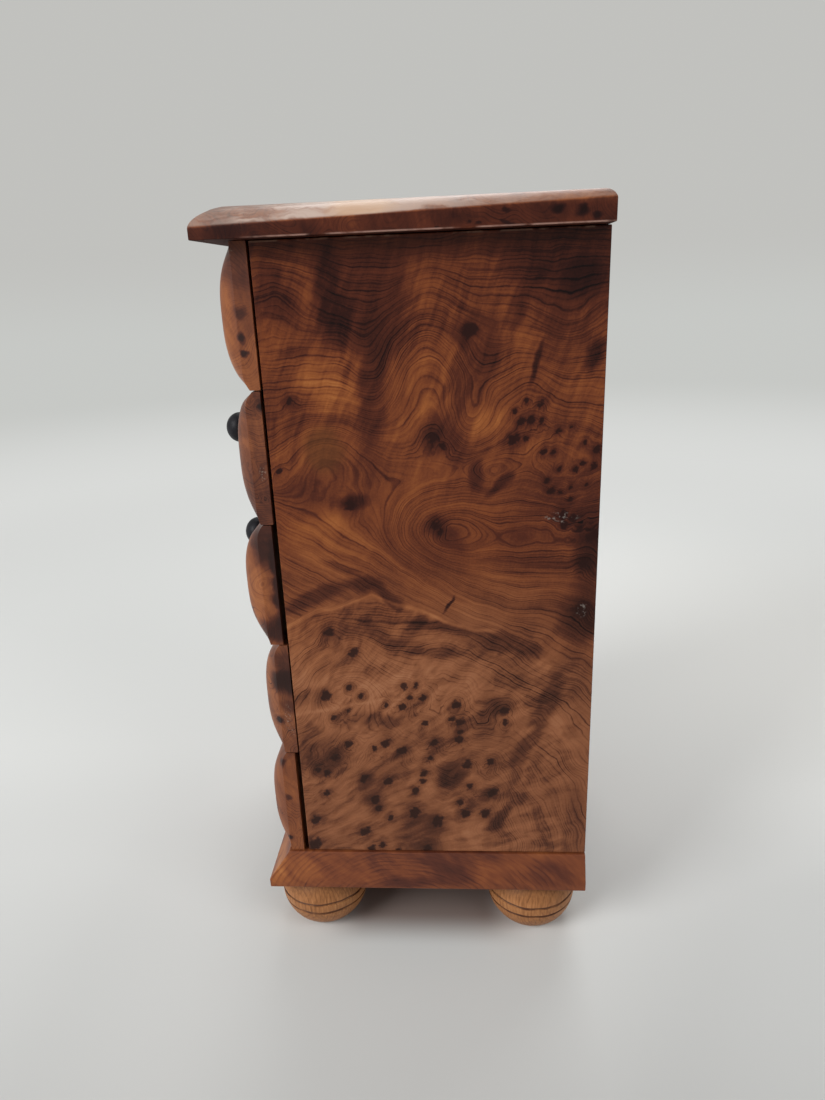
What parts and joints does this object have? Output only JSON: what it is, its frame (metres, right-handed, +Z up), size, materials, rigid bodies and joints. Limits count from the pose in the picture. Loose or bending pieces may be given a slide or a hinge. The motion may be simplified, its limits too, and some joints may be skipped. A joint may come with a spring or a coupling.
{
  "type": "jewelry box",
  "caption": "Small wooden jewelry chest: stacked drawers with bowed fronts and round knobs in a burl wood case on ball feet.",
  "frame": {"origin": "on the floor, under the middle of the chest's outer box with the knobs", "axes": "+Z up; the drawers face -Y and open that way; +X is the right side as seen from behind, and the picture's camera stands on the +X side"},
  "size_m": [0.1618, 0.1572, 0.304],
  "materials": {
    "burl_wood": "burl veneer under semi-gloss lacquer",
    "plinth_wood": "red-brown wood with arched grain, satin lacquer",
    "front_wood": "carved red-brown burl wood, semi-gloss lacquer",
    "foot_wood": "pale turned wood with two dark lines, waxed",
    "black_wood": "black turned wood, satin",
    "box_wood": "plain pale inner wood, unlacquered"
  },
  "bodies": {
    "carcass": {"foot_front_left": "foot_wood", "foot_front_right": "foot_wood", "foot_back_left": "foot_wood", "foot_back_right": "foot_wood", "base_board": "plinth_wood", "side_panel_left": "burl_wood", "side_panel_right": "burl_wood", "back_panel": "burl_wood", "shelf_1": "box_wood", "shelf_2": "box_wood", "shelf_3": "box_wood", "shelf_4": "box_wood", "top_board": "burl_wood"},
    "drawer_1": {"drawer_1_front": "front_wood", "drawer_1_side_left": "box_wood", "drawer_1_side_right": "box_wood", "drawer_1_bottom": "box_wood", "drawer_1_back": "box_wood", "drawer_1_knob": "black_wood"},
    "drawer_2": {"drawer_2_front": "front_wood", "drawer_2_side_left": "box_wood", "drawer_2_side_right": "box_wood", "drawer_2_bottom": "box_wood", "drawer_2_back": "box_wood", "drawer_2_knob": "black_wood"},
    "drawer_3": {"drawer_3_front": "front_wood", "drawer_3_side_left": "box_wood", "drawer_3_side_right": "box_wood", "drawer_3_bottom": "box_wood", "drawer_3_back": "box_wood", "drawer_3_knob": "black_wood"},
    "drawer_4": {"drawer_4_front": "front_wood", "drawer_4_side_left": "box_wood", "drawer_4_side_right": "box_wood", "drawer_4_bottom": "box_wood", "drawer_4_back": "box_wood", "drawer_4_knob": "black_wood"},
    "drawer_5": {"drawer_5_front": "front_wood", "drawer_5_side_left": "box_wood", "drawer_5_side_right": "box_wood", "drawer_5_bottom": "box_wood", "drawer_5_back": "box_wood", "drawer_5_knob": "black_wood"}
  },
  "joints": [
    {"name": "drawer_1_slide", "type": "slide", "parent": "carcass", "child": "drawer_1", "axis": [0, -1, 0], "range_m": [-0.0006, 0.09]},
    {"name": "drawer_2_slide", "type": "slide", "parent": "carcass", "child": "drawer_2", "axis": [0, -1, 0], "range_m": [-0.0009, 0.09]},
    {"name": "drawer_3_slide", "type": "slide", "parent": "carcass", "child": "drawer_3", "axis": [0, -1, 0], "range_m": [-0.0018, 0.09]},
    {"name": "drawer_4_slide", "type": "slide", "parent": "carcass", "child": "drawer_4", "axis": [0, -1, 0], "range_m": [-0.0002, 0.09]},
    {"name": "drawer_5_slide", "type": "slide", "parent": "carcass", "child": "drawer_5", "axis": [0, -1, 0], "range_m": [-0.0018, 0.09]}
  ]
}
